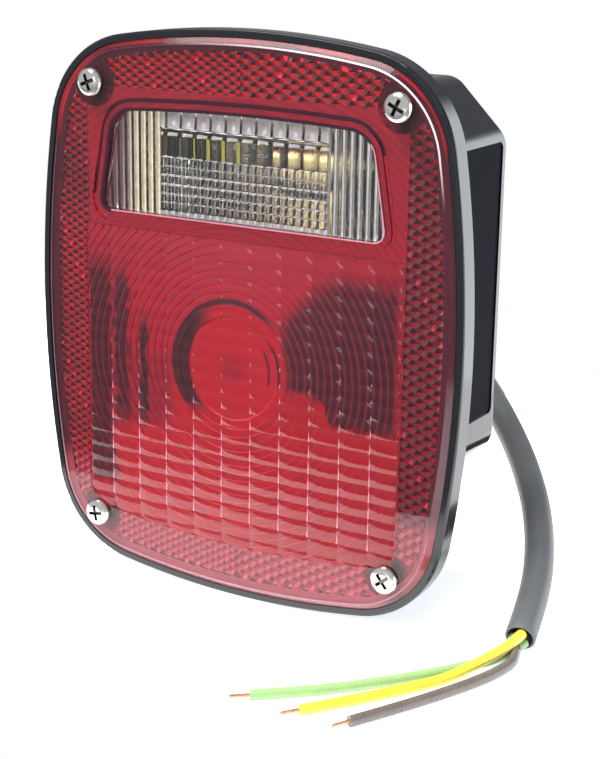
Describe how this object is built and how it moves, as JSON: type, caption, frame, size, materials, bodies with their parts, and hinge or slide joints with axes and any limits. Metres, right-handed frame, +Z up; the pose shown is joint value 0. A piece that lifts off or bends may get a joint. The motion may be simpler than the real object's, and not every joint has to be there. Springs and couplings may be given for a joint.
{
  "type": "trailer tail light",
  "caption": "Box-shaped stop, tail and backup lamp: black bucket with mounting studs, screwed-on red lens with a clear window, two bayonet bulbs and a short three-wire lead.",
  "frame": {"origin": "centre of the three-stud circle on the flat rear face", "axes": "+Y out of the rear face, the way the studs point; +X to the right seen from the front; +Z up"},
  "size_m": [0.1674, 0.1673, 0.1714],
  "materials": {
    "black_abs": "moulded black ABS, glossy borders with finely grained panels",
    "red_lens": "clear red acrylic, polished outside, prisms and pillows inside",
    "clear_lens": "clear acrylic with flutes and prism rows inside",
    "foam_seal": "black closed-cell foam",
    "nickel_steel": "nickel-plated steel",
    "brass": "plain brass",
    "zinc_steel": "bright zinc-plated steel",
    "yellow_zinc": "yellow-passivated zinc plate on stamped steel",
    "black_rubber": "moulded black rubber",
    "sheath_vinyl": "dark grey extruded vinyl, matte",
    "yellow_vinyl": "yellow wire insulation",
    "green_vinyl": "light green wire insulation",
    "brown_vinyl": "grey-brown wire insulation",
    "copper": "bare stranded copper",
    "bulb_glass": "clear blown glass",
    "solder": "tinned solder",
    "tungsten": "nickel posts and tungsten coils",
    "phenolic": "brown pressed phenolic",
    "spring_steel": "bright spring wire"
  },
  "bodies": {
    "lamp_housing": {"housing": "black_abs", "lens_gasket": "foam_seal", "screw_inserts": "brass", "mounting_studs": "zinc_steel", "socket_bracket": "yellow_zinc", "cable_grommet": "black_rubber", "cable_sheath": "sheath_vinyl", "wire_yellow": "yellow_vinyl", "wire_brown": "brown_vinyl", "wire_green": "green_vinyl", "inner_wire_yellow": "yellow_vinyl", "inner_wire_brown": "brown_vinyl", "inner_wire_green": "green_vinyl", "bare_end_yellow": "copper", "bare_end_brown": "copper", "bare_end_green": "copper", "tail_socket_shell": "yellow_zinc", "backup_socket_shell": "yellow_zinc", "tail_socket_spring": "spring_steel", "backup_socket_spring": "spring_steel"},
    "lens_cover": {"lens": "red_lens", "backup_window": "clear_lens"},
    "screw_upper_left": {"lens_screw_upper_left": "nickel_steel"},
    "screw_upper_right": {"lens_screw_upper_right": "nickel_steel"},
    "screw_lower_left": {"lens_screw_lower_left": "nickel_steel"},
    "screw_lower_right": {"lens_screw_lower_right": "nickel_steel"},
    "tail_contact": {"tail_contact_disc": "phenolic", "tail_disc_contacts": "brass"},
    "tail_bulb": {"tail_bulb_glass": "bulb_glass", "tail_bulb_base": "brass", "tail_bulb_contacts": "solder", "tail_bulb_filaments": "tungsten"},
    "backup_contact": {"backup_contact_disc": "phenolic", "backup_disc_contacts": "brass"},
    "backup_bulb": {"backup_bulb_glass": "bulb_glass", "backup_bulb_base": "brass", "backup_bulb_contacts": "solder", "backup_bulb_filaments": "tungsten"}
  },
  "joints": [
    {"name": "lens_lift_off", "type": "slide", "parent": "lamp_housing", "child": "lens_cover", "axis": [0, -1, 0], "range_m": [0, 0.06]},
    {"name": "screw_upper_left_out", "type": "slide", "parent": "lens_cover", "child": "screw_upper_left", "axis": [0, -1, 0], "range_m": [0, 0.018]},
    {"name": "screw_upper_right_out", "type": "slide", "parent": "lens_cover", "child": "screw_upper_right", "axis": [0, -1, 0], "range_m": [0, 0.018]},
    {"name": "screw_lower_left_out", "type": "slide", "parent": "lens_cover", "child": "screw_lower_left", "axis": [0, -1, 0], "range_m": [0, 0.018]},
    {"name": "screw_lower_right_out", "type": "slide", "parent": "lens_cover", "child": "screw_lower_right", "axis": [0, -1, 0], "range_m": [0, 0.018]},
    {"name": "tail_bulb_push", "type": "slide", "parent": "lamp_housing", "child": "tail_contact", "axis": [1, 0, 0], "range_m": [0, 0.002], "stiffness_N_per_m": 600, "springref_m": -0.003, "deforming": ["tail_socket_spring"]},
    {"name": "tail_bulb_turn", "type": "hinge", "parent": "tail_contact", "child": "tail_bulb", "pos_m": [0.0195, -0.028, -0.0135], "axis": [1, 0, 0], "range_deg": [0, 20]},
    {"name": "backup_bulb_push", "type": "slide", "parent": "lamp_housing", "child": "backup_contact", "axis": [1, 0, 0], "range_m": [0, 0.002], "stiffness_N_per_m": 600, "springref_m": -0.003, "deforming": ["backup_socket_spring"]},
    {"name": "backup_bulb_turn", "type": "hinge", "parent": "backup_contact", "child": "backup_bulb", "pos_m": [0.006, -0.028, 0.046], "axis": [1, 0, 0], "range_deg": [0, 20]}
  ]
}
